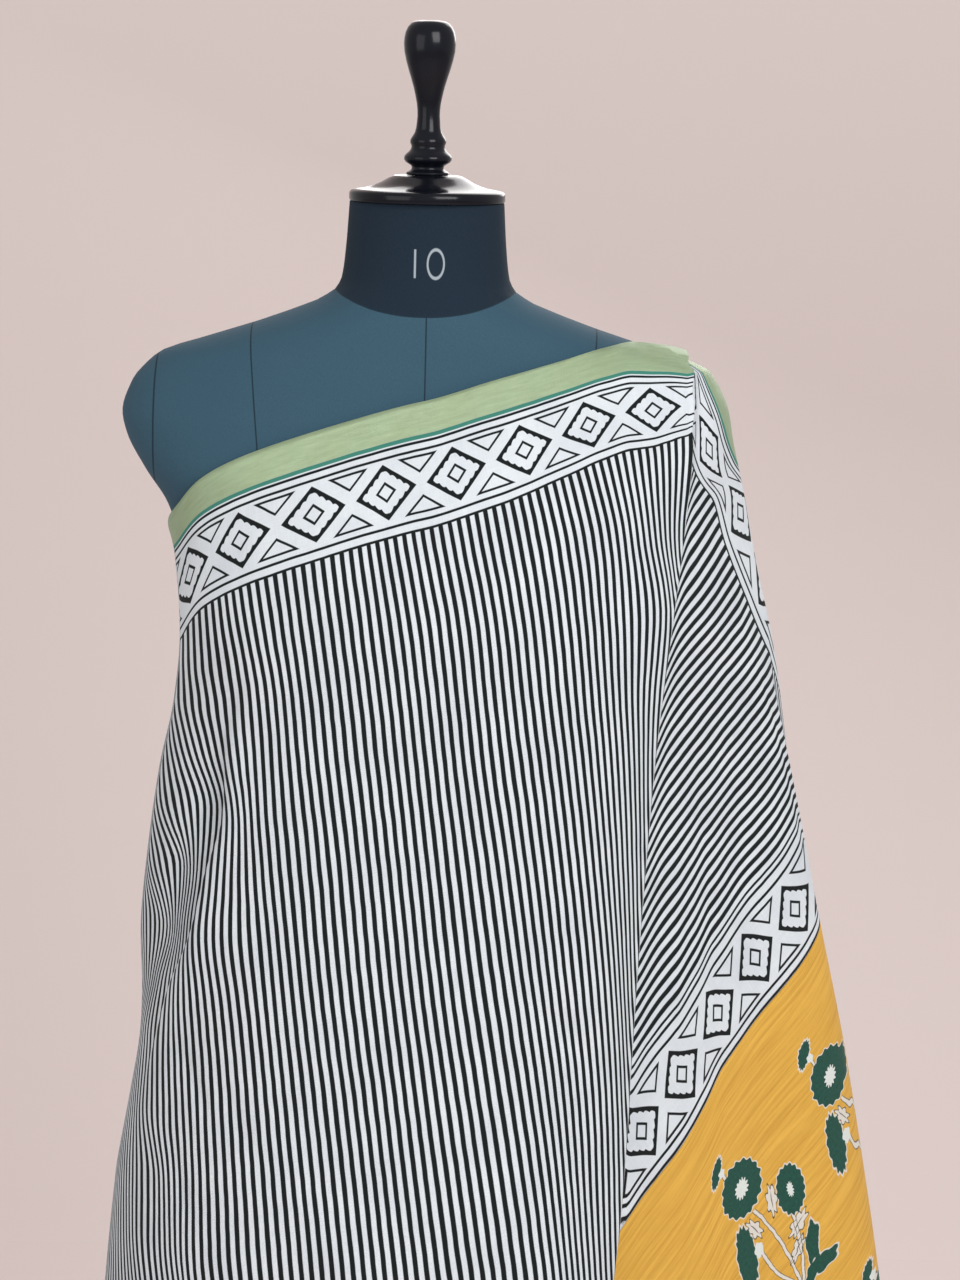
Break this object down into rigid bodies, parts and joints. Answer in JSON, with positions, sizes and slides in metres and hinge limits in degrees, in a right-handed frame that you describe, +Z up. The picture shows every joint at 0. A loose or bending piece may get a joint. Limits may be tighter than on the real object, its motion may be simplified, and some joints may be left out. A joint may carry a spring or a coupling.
{
  "type": "saree on dress form stand",
  "caption": "Open-drape saree with striped body, diamond border and plain-ended palla with flower sprigs, on a limbless dress form with a turned knob, pole and round base.",
  "frame": {"origin": "centre of the base's underside, on the pole's axis", "axes": "+Z up the pole to the knob, the form faces -Y, its own left side is +X"},
  "size_m": [0.6418, 0.4443, 1.6676],
  "materials": {
    "jersey": "matt stretch jersey over padding, seamed at the armholes, centre and princess lines",
    "lacquer": "gloss black lacquer on turned wood",
    "stand_metal": "black powder coat",
    "striped_cloth": "linen-look cotton, fine dark stripes, printed diamond border and woven green-gold selvedge band",
    "mustard_cloth": "slubby mustard cotton with green and grey printed flower sprigs"
  },
  "bodies": {
    "root": {"form_torso": "jersey", "form_arm_cap_left": "jersey", "form_arm_cap_right": "jersey", "form_neck_cap": "lacquer", "form_knob": "lacquer", "stand_pole": "stand_metal", "stand_base": "stand_metal", "saree_skirt": "striped_cloth", "saree_front_drape": "striped_cloth", "saree_back_wrap": "striped_cloth", "saree_fall": "striped_cloth", "saree_palla_end": "mustard_cloth"}
  },
  "joints": []
}
